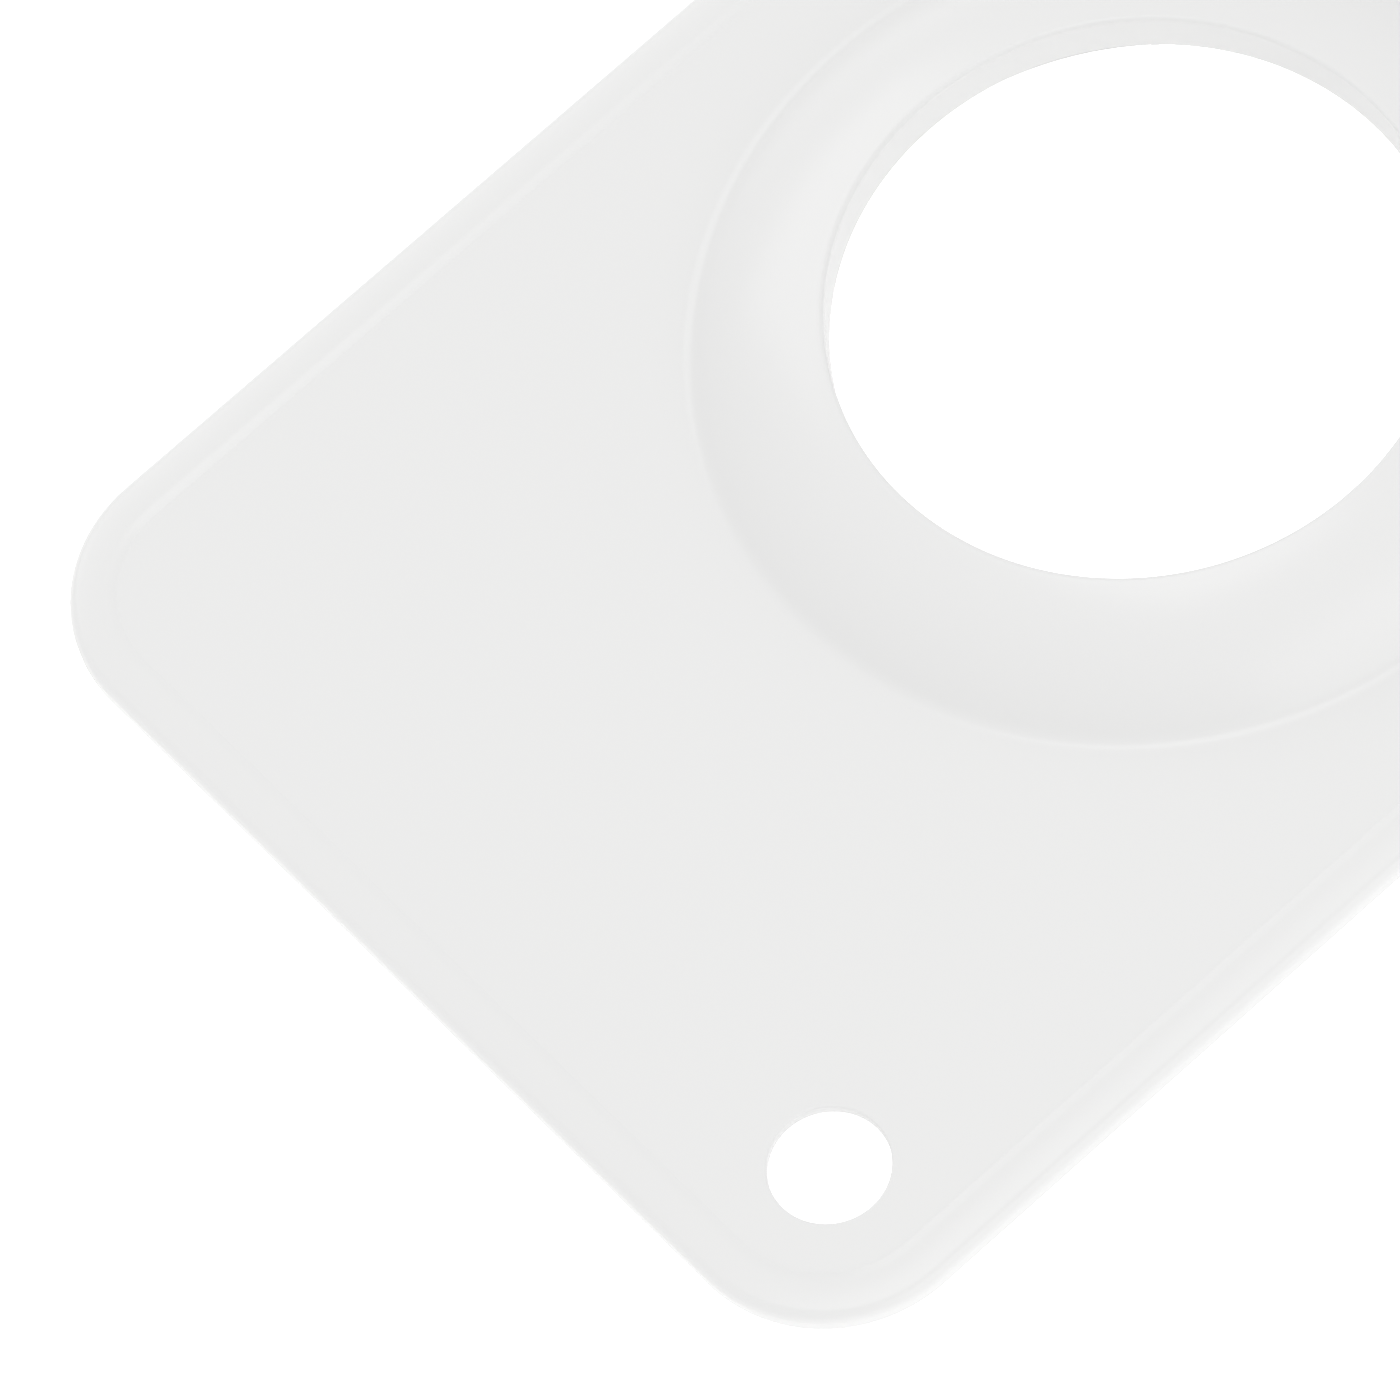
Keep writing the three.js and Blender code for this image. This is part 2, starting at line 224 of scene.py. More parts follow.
class Finishes(bpy.types.PropertyGroup):
    """Colours of the materials."""

    tray: FloatVectorProperty(
        name="Tray", description="Semi-gloss white plastic of the tray", subtype="COLOR", size=3,
        min=0.0, max=1.0, default=(0.80, 0.80, 0.80))
    base: FloatVectorProperty(
        name="Base", description="Satin white plastic of the two rings", subtype="COLOR", size=3,
        min=0.0, max=1.0, default=(0.76, 0.76, 0.75))
    cage: FloatVectorProperty(
        name="Cage", description="Natural nylon of the ball cage", subtype="COLOR", size=3,
        min=0.0, max=1.0, default=(0.72, 0.69, 0.61))
    race: FloatVectorProperty(
        name="Races", description="Rolled steel strip", subtype="COLOR", size=3,
        min=0.0, max=1.0, default=(0.55, 0.56, 0.58))
    ball: FloatVectorProperty(
        name="Balls", description="Polished bearing steel", subtype="COLOR", size=3,
        min=0.0, max=1.0, default=(0.68, 0.69, 0.71))
    screw: FloatVectorProperty(
        name="Screws", description="Zinc plating", subtype="COLOR", size=3,
        min=0.0, max=1.0, default=(0.58, 0.59, 0.61))
    pad: FloatVectorProperty(
        name="Pads", description="Grey rubber", subtype="COLOR", size=3,
        min=0.0, max=1.0, default=(0.30, 0.30, 0.31))


class StageSettings(bpy.types.PropertyGroup):
    """Floor, light and camera."""

    floor_colour: FloatVectorProperty(
        name="Floor", description="White sweep under the tray", subtype="COLOR", size=3,
        min=0.0, max=1.0, default=(0.92, 0.92, 0.92))
    floor_glow: FloatProperty(
        name="Floor glow", description="Brightness that keeps the sweep white in the picture", default=1.0,
        min=0.0)
    floor_light: FloatProperty(
        name="Floor light", description="Light that the sweep gives to the tray from below", default=0.34,
        min=0.0)
    sky: FloatProperty(
        name="Sky", description="Even light from all around", default=0.79, min=0.0)
    side_power: FloatProperty(
        name="Side power", description="Each of the two softboxes beside the tray", default=4.0, min=0.0,
        unit="POWER")
    side_size: FloatProperty(
        name="Side size", description="Width of each of the two", default=1.2, min=0.01, unit="LENGTH")
    side_distance: FloatProperty(
        name="Side distance", description="From the tray's axis", default=1.6, min=0.1, unit="LENGTH")
    side_height: FloatProperty(
        name="Side height", description="Above the table", default=1.1, min=0.1, unit="LENGTH")
    top_power: FloatProperty(
        name="Top power", description="Softbox right above the tray", default=2.2, min=0.0, unit="POWER")
    top_size: FloatProperty(
        name="Top size", description="Its width", default=0.7, min=0.01, unit="LENGTH")
    top_height: FloatProperty(
        name="Top height", description="Above the table", default=1.6, min=0.1, unit="LENGTH")
    azimuth: FloatProperty(
        name="Azimuth", description="Camera's direction round the tray", default=math.radians(-26.26),
        subtype="ANGLE")
    elevation: FloatProperty(
        name="Elevation", description="Camera above the horizon", default=math.radians(62.76),
        subtype="ANGLE")
    roll: FloatProperty(
        name="Roll", description="Camera turned about its own axis", default=math.radians(-17.47),
        subtype="ANGLE")
    distance: FloatProperty(
        name="Distance", description="Camera to the point that it looks at", default=2.5, min=0.1,
        unit="LENGTH")
    lens: FloatProperty(
        name="Lens", description="Focal length on a 36 mm sensor", default=331.7, min=1.0, unit="CAMERA")
    look_at: FloatVectorProperty(
        name="Look at", description="Point in the middle of the picture", subtype="TRANSLATION", size=3,
        unit="LENGTH", default=(-113.5 * MM, 5.2 * MM, 8.3 * MM))


# ------------------------------------------------------------------ outlines and profiles

RING_STEPS = 192
HOLE_STEPS = 64
CORNER_STEPS = 24
BALL_CUTS = 11                  # cuts across each side of the cube that becomes a ball
FLAT_STRIP = 1 * MM             # flat loop beside a curved one, so that a flat face stays flat in shading
NARROW_STRIP = 0.05 * MM        # the same on the small pieces
SHARP_ANGLE = math.radians(38)
SIDE_SHARE = 0.45               # most of a side that one rounded corner may use


def polar(radius, angle, height=0.0, centre=(0.0, 0.0)):
    return Vector((centre[0] + radius * math.cos(angle), centre[1] + radius * math.sin(angle), height))


def circle(radius, height, steps, centre=(0.0, 0.0)):
    return [polar(radius, math.tau * i / steps, height, centre) for i in range(steps)]


def arc(centre, radius, start, end, steps):
    """Points on an arc in a plane, from one angle to another, in degrees."""
    points = []
    for i in range(steps + 1):
        angle = math.radians(start + (end - start) * i / steps)
        points.append((centre[0] + radius * math.cos(angle), centre[1] + radius * math.sin(angle)))
    return points


def rounded(points, radius, steps=5):
    """A closed outline with its corners rounded. The radius is one number, or one for each corner."""
    radii = radius if isinstance(radius, (list, tuple)) else [radius] * len(points)
    outline = []
    for i, point in enumerate(points):
        corner = Vector(point)
        if radii[i] == 0:
            outline.append(tuple(corner))
            continue
        before = Vector(points[i - 1]) - corner
        after = Vector(points[(i + 1) % len(points)]) - corner
        half = before.angle(after) / 2
        reach = min(radii[i] / math.tan(half), SIDE_SHARE * before.length, SIDE_SHARE * after.length)
        turn = reach * math.tan(half)
        bisector = (before.normalized() + after.normalized()).normalized()
        pole = corner + bisector * turn / math.sin(half)
        first = corner + before.normalized() * reach - pole
        last = corner + after.normalized() * reach - pole
        for step in range(steps + 1):
            spoke = first.lerp(last, step / steps).normalized() * turn
            outline.append(tuple(pole + spoke))
    return outline


def spread(count, phase=0.0):
    """Angles of things set evenly round a circle."""
    return [math.tau * (i + phase) / count for i in range(count)]


# ------------------------------------------------------------------ mesh work

def strip(bm, loops):
    """Faces between closed loops of points, each joined to the next. Returns the first and the last loop."""
    rows = [[bm.verts.new(point) for point in loop] for loop in loops]
    for row, following in zip(rows, rows[1:]):
        for i in range(len(row)):
            bm.faces.new((row[i - 1], row[i], following[i], following[i - 1]))
    return rows[0], rows[-1]


def hole_strip(bm, profile, steps, centre=(0.0, 0.0)):
    """A strip through circles given as (radius, height)."""
    return strip(bm, [circle(radius, height, steps, centre) for radius, height in profile])


def fill(bm, *rows):
    """Closes the flat face that lies between loops of vertices."""
    edges = [bm.edges.get((row[i - 1], row[i])) for row in rows for i in range(len(row))]
    bmesh.ops.triangle_fill(bm, edges=edges, use_beauty=True)


def turned(bm, profile, steps, centre=(0.0, 0.0)):
    """A closed body: a profile of (radius, height) turned about a vertical line. It may end on that line."""
    rows = []
    for radius, height in profile:
        points = circle(radius, height, steps if radius > 0 else 1, centre)
        rows.append([bm.verts.new(point) for point in points])
    pairs = list(zip(rows, rows[1:]))
    if profile[0][0] > 0:
        pairs.append((rows[-1], rows[0]))
    for low, high in pairs:
        for i in range(steps):
            j = (i + 1) % steps
            corners = (low[i % len(low)], low[j % len(low)], high[j % len(high)], high[i % len(high)])
            bm.faces.new(list(dict.fromkeys(corners)))


def swept(bm, outline, start, end):
    """A closed body: a flat outline of (sideways, up) points carried straight from start to end."""
    along = Vector((*end, 0)) - Vector((*start, 0))
    sideways = Vector((-along.y, along.x, 0)).normalized()
    ends = []
    for place in (start, end):
        origin = Vector((*place, 0))
        ends.append([bm.verts.new(origin + sideways * x + Vector((0, 0, z))) for x, z in outline])
    for i in range(len(outline)):
        bm.faces.new((ends[0][i - 1], ends[0][i], ends[1][i], ends[1][i - 1]))
    bm.faces.new(ends[0])
    bm.faces.new(reversed(ends[1]))


def body(maker, *args):
    """A new bmesh holding what a maker such as turned or swept draws, with its faces outwards."""
    bm = bmesh.new()
    maker(bm, *args)
    bmesh.ops.recalc_face_normals(bm, faces=bm.faces)
    return bm


def loose_object(name, bm, collection):
    mesh = bpy.data.meshes.new(name)
    bm.to_mesh(mesh)
    bm.free()
    obj = bpy.data.objects.new(name, mesh)
    collection.objects.link(obj)
    return obj


def boolean(bm, tools, operation):
    """Joins closed bodies to bm with UNION, or cuts them out of it with DIFFERENCE. Returns a new bmesh."""
    scene = bpy.context.scene
    box = bpy.data.collections.new("tools")
    scene.collection.children.link(box)
    work = loose_object("work", bm, scene.collection)
    for tool in tools:
        loose_object("tool", tool, box)
    modifier = work.modifiers.new("combine", "BOOLEAN")
    modifier.operation = operation
    modifier.solver = "EXACT"
    modifier.operand_type = "COLLECTION"
    modifier.collection = box
    graph = bpy.context.evaluated_depsgraph_get()
    mesh = bpy.data.meshes.new_from_object(work.evaluated_get(graph))
    result = bmesh.new()
    result.from_mesh(mesh)
    for obj in (work, *box.objects):
        bpy.data.meshes.remove(obj.data)
    bpy.data.collections.remove(box)
    bpy.data.meshes.remove(mesh)
    return result


def make_piece(name, bm, rides_on, node, material):
    """The finished object of one piece, standing for its CAD node."""
    bmesh.ops.recalc_face_normals(bm, faces=bm.faces)
    for face in bm.faces:
        face.smooth = True
        face.material_index = 0
    for edge in bm.edges:
        if len(edge.link_faces) != 2:
            raise RuntimeError(f"{name} has an open edge")
        edge.smooth = edge.calc_face_angle() < SHARP_ANGLE
    piece = loose_object(name, bm, bpy.context.scene.collection)
    piece.data.materials.clear()
    piece.data.materials.append(material)
    normals = piece.modifiers.new("flat faces stay flat", "WEIGHTED_NORMAL")
    normals.keep_sharp = True
    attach(piece, rides_on)
    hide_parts(node)
    return piece


# ------------------------------------------------------------------ materials

NOISE_LOW = 0.3                 # a noise texture mostly stays between these two values
NOISE_HIGH = 0.7


class Finish:
    """A new material and short ways to add nodes to it."""

    def __init__(self, name, colour, roughness, metallic=0.0):
        self.material = bpy.data.materials.new(name)
        self.material.use_nodes = True
        self.tree = self.material.node_tree
        self.shader = self.tree.nodes["Principled BSDF"]
        self.shader.inputs["Base Color"].default_value = (*colour, 1)
        self.shader.inputs["Roughness"].default_value = roughness
        self.shader.inputs["Metallic"].default_value = metallic
        self.place = self.node("ShaderNodeTexCoord").outputs["Object"]

    def node(self, kind, **inputs):
        """Adds a node. A value sets an input, and another node's output is linked to it."""
        node = self.tree.nodes.new(kind)
        for name, value in inputs.items():
            socket = node.inputs[name.replace("_", " ")]
            if isinstance(value, bpy.types.NodeSocket):
                self.tree.links.new(value, socket)
            else:
                socket.default_value = value
        return node

    def noise(self, scale, detail=2.0, place=None):
        node = self.node("ShaderNodeTexNoise", Vector=place or self.place, Scale=scale, Detail=detail)
        return node.outputs["Fac"]

    def span(self, value, low, high):
        """Maps the range that a noise value mostly stays in onto low to high."""
        node = self.node(
            "ShaderNodeMapRange", Value=value,
            From_Min=NOISE_LOW, From_Max=NOISE_HIGH, To_Min=low, To_Max=high)
        return node.outputs["Result"]

    def tint(self, value, colour, other):
        """Base colour that goes from one colour to another with a value."""
        node = self.node("ShaderNodeMix")
        node.data_type = "RGBA"
        self.tree.links.new(value, node.inputs["Factor"])
        for socket in node.inputs:
            if socket.type == "RGBA" and socket.name == "A":
                socket.default_value = (*colour, 1)
            if socket.type == "RGBA" and socket.name == "B":
                socket.default_value = (*other, 1)
        result = next(socket for socket in node.outputs if socket.type == "RGBA")
        self.tree.links.new(result, self.shader.inputs["Base Color"])

    def rough(self, value):
        self.tree.links.new(value, self.shader.inputs["Roughness"])

    def relief(self, height, depth, strength=1.0):
        """Fine relief, depth metres from its lowest to its highest point."""
        node = self.node("ShaderNodeBump", Height=height, Distance=depth, Strength=strength)
        self.tree.links.new(node.outputs["Normal"], self.shader.inputs["Normal"])

    def round_place(self, around, across):
        """Coordinates that run around the axis and across the ring, each with its own scale."""
        apart = self.node("ShaderNodeSeparateXYZ", Vector=self.place)
        turn = self.node("ShaderNodeMath")
        turn.operation = "ARCTAN2"
        self.tree.links.new(apart.outputs["Y"], turn.inputs[0])
        self.tree.links.new(apart.outputs["X"], turn.inputs[1])
        flat = self.node("ShaderNodeCombineXYZ", X=apart.outputs["X"], Y=apart.outputs["Y"])
        reach = self.node("ShaderNodeVectorMath")
        reach.operation = "LENGTH"
        self.tree.links.new(flat.outputs["Vector"], reach.inputs[0])
        joined = self.node(
            "ShaderNodeCombineXYZ",
            X=self.times(turn.outputs["Value"], around),
            Y=self.times(reach.outputs["Value"], across),
            Z=self.times(apart.outputs["Z"], across))
        return joined.outputs["Vector"]

    def times(self, value, factor):
        node = self.node("ShaderNodeMath")
        node.operation = "MULTIPLY"
        self.tree.links.new(value, node.inputs[0])
        node.inputs[1].default_value = factor
        return node.outputs["Value"]


def scaled(colour, factor):
    return tuple(channel * factor for channel in colour)


def tray_plastic(colour):
    """Semi-gloss moulded plastic: faint flow shading, a very fine grain and slightly uneven gloss."""
    finish = Finish("tray_plastic", colour, roughness=0.29)
    finish.tint(finish.span(finish.noise(scale=9, detail=3), 0, 1), scaled(colour, 0.992), colour)
    finish.rough(finish.span(finish.noise(scale=60, detail=4), 0.26, 0.32))
    finish.relief(finish.noise(scale=1400, detail=2), depth=0.004 * MM, strength=0.5)
    return finish.material


def base_plastic(colour):
    """Satin plastic with the fine spark-eroded texture of its mould."""
    finish = Finish("base_plastic", colour, roughness=0.48)
    finish.tint(finish.span(finish.noise(scale=25, detail=4), 0, 1), scaled(colour, 0.97), colour)
    finish.rough(finish.span(finish.noise(scale=300, detail=3), 0.44, 0.54))
    finish.relief(finish.noise(scale=4200, detail=3), depth=0.02 * MM, strength=0.6)
    return finish.material


def cage_nylon(colour):
    """Natural nylon: slightly translucent, with cloudy colour."""
    finish = Finish("cage_nylon", colour, roughness=0.45)
    finish.tint(finish.span(finish.noise(scale=90, detail=3), 0, 1), scaled(colour, 0.9), colour)
    finish.rough(finish.span(finish.noise(scale=500, detail=2), 0.4, 0.52))
    finish.relief(finish.noise(scale=2500, detail=2), depth=0.01 * MM, strength=0.5)
    finish.shader.inputs["Subsurface Weight"].default_value = 0.2
    finish.shader.inputs["Subsurface Radius"].default_value = (1.0, 0.9, 0.7)
    finish.shader.inputs["Subsurface Scale"].default_value = 1 * MM
    return finish.material


def race_steel(colour):
    """Rolled and ground strip, with fine lines that run around the ring."""
    finish = Finish("race_steel", colour, roughness=0.3, metallic=1.0)
    lines = finish.noise(scale=1.0, detail=4, place=finish.round_place(around=6, across=9000))
    finish.tint(finish.span(finish.noise(scale=220, detail=3), 0, 1), scaled(colour, 0.86), colour)
    finish.rough(finish.span(lines, 0.24, 0.38))
    finish.relief(lines, depth=0.004 * MM, strength=0.5)
    finish.shader.inputs["Anisotropic"].default_value = 0.4
    return finish.material


def ball_steel(colour):
    """Lapped and polished bearing steel with a trace of haze."""
    finish = Finish("ball_steel", colour, roughness=0.08, metallic=1.0)
    finish.rough(finish.span(finish.noise(scale=700, detail=4), 0.06, 0.13))
    finish.tint(finish.span(finish.noise(scale=300, detail=2), 0, 1), scaled(colour, 0.95), colour)
    return finish.material


def screw_steel(colour):
    """Zinc plating, faintly blue, with a crystalline mottle."""
    finish = Finish("screw_steel", colour, roughness=0.32, metallic=1.0)
    blue = (colour[0] * 0.88, colour[1] * 0.92, colour[2])
    finish.tint(finish.span(finish.noise(scale=1100, detail=4), 0, 1), blue, colour)
    finish.rough(finish.span(finish.noise(scale=2600, detail=3), 0.24, 0.42))
    finish.relief(finish.noise(scale=6000, detail=2), depth=0.006 * MM, strength=0.5)
    return finish.material


def pad_rubber(colour):
    """Matte grey rubber with a fine pebbled skin."""
    finish = Finish("pad_rubber", colour, roughness=0.82)
    finish.tint(finish.span(finish.noise(scale=900, detail=4), 0, 1), scaled(colour, 0.85), colour)
    finish.rough(finish.span(finish.noise(scale=1800, detail=2), 0.74, 0.9))
    finish.relief(finish.noise(scale=3800, detail=3), depth=0.04 * MM, strength=0.8)
    return finish.material


def material_for(slot, colour):
    """The slot's material, made once."""
    makers = {
        "tray_plastic": tray_plastic,
        "base_plastic": base_plastic,
        "cage_nylon": cage_nylon,
        "race_steel": race_steel,
        "ball_steel": ball_steel,
        "screw_steel": screw_steel,
        "pad_rubber": pad_rubber,
    }
    return bpy.data.materials.get(slot) or makers[slot](colour)


# ------------------------------------------------------------------ tray

SLOPE_STEPS = 36
RIM_STEPS = 18
UNDER_STEPS = 8


def skirt_bottom(sizes):
    return tray_high.z - sizes.plate_height - sizes.boss_rise


def plate_top(sizes):
    return skirt_bottom(sizes) + sizes.plate_height


def underside(sizes):
    return plate_top(sizes) - sizes.sheet


def tray_outline(sizes, inset, height):
    """The tray's outline, moved inwards: a rectangle with round corners, counter-clockwise."""
    radius = sizes.corner_radius - inset
    cx = sizes.length / 2 - sizes.corner_radius
    cy = sizes.width / 2 - sizes.corner_radius
    points = []
    for x, y, start in ((cx, cy, 0), (-cx, cy, 90), (-cx, -cy, 180), (cx, -cy, 270)):
        points += [Vector((*p, height)) for p in arc((x, y), radius, start, start + 90, CORNER_STEPS)]
    return points


def rim_profile(sizes):
    """The tray's edge as (inset, height): from the flat underside, round the skirt, to the flat plate."""
    low = skirt_bottom(sizes)
    plate = plate_top(sizes)
    crest = plate + sizes.rim_rise
    inner_round = sizes.inner_round
    inner_centre = (sizes.sheet + inner_round, underside(sizes) - inner_round)
    inner = arc(inner_centre, inner_round, 90, 180, UNDER_STEPS)
    bottom_round = sizes.bottom_round
    foot_in = arc((sizes.sheet - bottom_round, low + bottom_round), bottom_round, 0, -90, UNDER_STEPS)
    foot_out = arc((bottom_round, low + bottom_round), bottom_round, 270, 180, UNDER_STEPS)
    # The outer round ends at the angle at which the crown starts, so that the two run into each other.
    tilt = math.degrees(math.atan(2 * sizes.rim_crown / (sizes.rim_crest_inset - sizes.edge_round)))
    centre = (sizes.edge_round, crest - sizes.rim_crown - sizes.edge_round)
    outer = arc(centre, sizes.edge_round, 180, 90 + tilt, RIM_STEPS)
    start, start_height = outer[-1]
    crown = []
    step = []
    for i in range(1, RIM_STEPS + 1):
        share = i / RIM_STEPS
        crown.append((start + (sizes.rim_crest_inset - start) * share,
                      crest - (crest - start_height) * (1 - share) ** 2))
        step.append((sizes.rim_crest_inset + (sizes.rim_foot_inset - sizes.rim_crest_inset) * share,
                     plate + sizes.rim_rise * math.cos(math.pi / 2 * share)))
    flat_inner = sizes.sheet + inner_round + FLAT_STRIP
    return [(flat_inner, underside(sizes)), *inner, *foot_in, *foot_out, *outer, *crown, *step,
            (sizes.rim_foot_inset + FLAT_STRIP, plate)]


def boss_height(sizes, radius):
    """Height above the plate: a hollow foot, then a slope that is steepest there and eases upwards."""
    reach = sizes.opening_radius + sizes.boss_width - radius
    width = sizes.boss_width - sizes.lip_round
    easing = width - sizes.boss_foot
    foot_slope = (sizes.boss_rise - sizes.boss_lip_slope * easing / 2) / (width / 2)
    if reach < sizes.boss_foot:
        return foot_slope * reach ** 2 / (2 * sizes.boss_foot)
    beyond = reach - sizes.boss_foot
    bend = (foot_slope - sizes.boss_lip_slope) * beyond ** 2 / (2 * easing)
    return foot_slope * (sizes.boss_foot / 2 + beyond) - bend


def boss_face(sizes, inner, offset=0.0):
    """The boss's face as (radius, height), from its foot to a radius, moved down by offset."""
    foot = sizes.opening_radius + sizes.boss_width
    points = []
    for i in range(SLOPE_STEPS + 1):
        radius = foot + (inner - foot) * i / SLOPE_STEPS
        points.append((radius, plate_top(sizes) + boss_height(sizes, radius) - offset))
    return points


def boss_profile(sizes):
    """The boss as (radius, height): from the flat plate, over the lip, down the bore, to the underside."""
    foot = sizes.opening_radius + sizes.boss_width + FLAT_STRIP
    lip = tray_high.z
    bore_bottom = lip - sizes.bore_height
    inner_face = sizes.opening_radius + sizes.sheet
    edge = sizes.sheet / 4
    fillet = sizes.sheet / 2
    face = boss_face(sizes, sizes.opening_radius + sizes.lip_round)
    lip_centre = (sizes.opening_radius + sizes.lip_round, lip - sizes.lip_round)
    round_lip = arc(lip_centre, sizes.lip_round, 90, 180, UNDER_STEPS)[1:]
    bore_edge = arc((sizes.opening_radius + edge, bore_bottom + edge), edge, 180, 270, UNDER_STEPS)
    wall_edge = arc((inner_face - edge, bore_bottom + edge), edge, 270, 360, UNDER_STEPS)
    under_lip = arc((inner_face + fillet, lip - sizes.sheet - fillet), fillet, 180, 90, UNDER_STEPS)
    under = boss_face(sizes, inner_face + sizes.sheet, sizes.sheet)[::-1]
    return [(foot, plate_top(sizes)), *face, *round_lip, *bore_edge, *wall_edge, *under_lip, *under,
            (foot, underside(sizes))]


def finger_hole_profile(sizes):
    top = plate_top(sizes)
    low = underside(sizes)
    radius = sizes.finger_hole_radius
    edge = sizes.finger_hole_round
    upper = arc((radius + edge, top - edge), edge, 90, 180, UNDER_STEPS)
    lower = arc((radius + edge, low + edge), edge, 180, 270, UNDER_STEPS)
    flat = radius + edge + FLAT_STRIP
    return [(flat, top), *upper, *lower, (flat, low)]


def rib_outline(sizes, top):
    """Section of a rib below the plate as (sideways, up): round tip, and a fillet at the root."""
    half = sizes.rib_thickness / 2
    fillet = sizes.rib_fillet
    root = underside(sizes)
    tip = root - sizes.rib_depth
    left = arc((-half - fillet, root - fillet), fillet, 90, 0, UNDER_STEPS)
    right = arc((half + fillet, root - fillet), fillet, 180, 90, UNDER_STEPS)
    tip_left = arc((0, tip + half), half, 180, 270, UNDER_STEPS)
    tip_right = arc((0, tip + half), half, 270, 360, UNDER_STEPS)[1:]
    return [(-half - fillet, top), *left, *tip_left, *tip_right, *right, (half + fillet, top)]


def plate_ribs(sizes):
    """Straight ribs under the plate. The long ones stop at the collar around the bearing."""
    top = underside(sizes) + sizes.sheet / 2
    outline = rib_outline(sizes, top)
    end_x = sizes.length / 2 - sizes.sheet / 2
    end_y = sizes.width / 2 - sizes.sheet / 2
    cross_x = sizes.length / 2 - sizes.cross_rib_inset
    stop_x = math.sqrt(SCREW_CIRCLE ** 2 - sizes.end_rib_offset ** 2)
    ribs = []
    for side in (-1, 1):
        ribs.append(body(swept, outline, (side * cross_x, -end_y), (side * cross_x, end_y)))
        for end in (-1, 1):
            y = side * sizes.end_rib_offset
            ribs.append(body(swept, outline, (end * stop_x, y), (end * end_x, y)))
    collar = [(SCREW_CIRCLE + x, z) for x, z in outline]
    ribs.append(body(turned, collar, RING_STEPS))
    return ribs


def screw_bosses(sizes, bearing):
    """Round bosses with a hole for the screw, which the plate closes at its upper end."""
    hole = bearing.screw_shank_radius + bearing.seat_gap
    radius = hole + bearing.screw_boss_wall
    low = retainer_high.z
    root = underside(sizes)
    fillet_centre = (radius + sizes.rib_fillet, root - sizes.rib_fillet)
    fillet = arc(fillet_centre, sizes.rib_fillet, 180, 90, UNDER_STEPS)
    edge_round = bearing.edge_round
    edge = arc((radius - edge_round, low + edge_round), edge_round, 270, 360, UNDER_STEPS)
    top = root + sizes.sheet / 2
    profile = [(hole, low), *edge, *fillet, (radius + sizes.rib_fillet, top), (hole, top)]
    return [body(turned, profile, HOLE_STEPS, middle(screw).xy) for screw in SCREWS]


def race_seat(sizes, bearing):
    """Walls under the boss that carry the upper race, the lip that centres it, and radial ribs."""
    seat = upper_high.z
    wall = sizes.sheet / 2
    race_outer = upper_high.x
    race_inner = 2 * PITCH_RADIUS - race_outer
    lip_inner = race_outer + bearing.seat_gap
    lip_low = seat - bearing.race_lip

    def inside_wall(radius):
        return radius, plate_top(sizes) + boss_height(sizes, radius) - sizes.sheet / 2

    inner = [(race_inner, seat), (race_inner + wall, seat), inside_wall(race_inner + wall),
             inside_wall(race_inner)]
    outer = [(race_outer - wall, seat), (lip_inner, seat), (lip_inner, lip_low), (lip_inner + wall, lip_low),
             inside_wall(lip_inner + wall), inside_wall(race_outer - wall)]
    pieces = [body(turned, inner, RING_STEPS), body(turned, outer, RING_STEPS)]
    start = sizes.opening_radius + sizes.sheet - sizes.rib_overlap
    # The ribs reach further into the boss's wall than the rings do, so that no two faces lie together.
    under = boss_face(sizes, start + sizes.rib_fillet, sizes.sheet / 3)
    top = [point for point in under if point[0] < race_outer]
    side = [(start, seat), (race_outer, seat), *top, (start, top[-1][1])]
    for angle in spread(sizes.bore_ribs):
        pieces.append(body(radial_plate, side, sizes.rib_thickness, angle))
    return pieces


def radial_plate(bm, side, thickness, angle):
    """A closed plate whose side view is given as (radius, height), standing at an angle round the axis."""
    across = Vector((-math.sin(angle), math.cos(angle), 0)) * thickness / 2
    near = [bm.verts.new(polar(radius, angle, height) - across) for radius, height in side]
    far = [bm.verts.new(polar(radius, angle, height) + across) for radius, height in side]
    for i in range(len(side)):
        bm.faces.new((near[i - 1], near[i], far[i], far[i - 1]))
    bm.faces.new(near)
    bm.faces.new(reversed(far))


def tray_body(sizes, bearing):
    bm = bmesh.new()
    rim = strip(bm, [tray_outline(sizes, inset, height) for inset, height in rim_profile(sizes)])
    boss = hole_strip(bm, boss_profile(sizes), RING_STEPS)
    hole_x = -sizes.length / 2 + sizes.corner_radius
    hole_y = -sizes.width / 2 + sizes.corner_radius
    hole = hole_strip(bm, finger_hole_profile(sizes), HOLE_STEPS, (hole_x, hole_y))
    fill(bm, rim[1], boss[0], hole[0])
    fill(bm, rim[0], boss[1], hole[1])
    bmesh.ops.recalc_face_normals(bm, faces=bm.faces)
    inside = plate_ribs(sizes) + race_seat(sizes, bearing) + screw_bosses(sizes, bearing)
    return boolean(bm, inside, "UNION")


class TURNTABLE_OT_tray(bpy.types.Operator):
    """Make the moulded tray: plate, rim, boss, opening, finger hole and the ribs underneath"""

    bl_idname = "turntable.tray"
    bl_label = "Tray"
    bl_options = {"REGISTER", "UNDO"}

    def execute(self, context):
        scene = context.scene
        bm = tray_body(scene.tray_sizes, scene.bearing_sizes)
        material = material_for("tray_plastic", scene.finishes.tray)
        make_piece("tray_moulding", bm, "turning_tray", "tray", material)
        return {"FINISHED"}


# ------------------------------------------------------------------ races, balls and cage

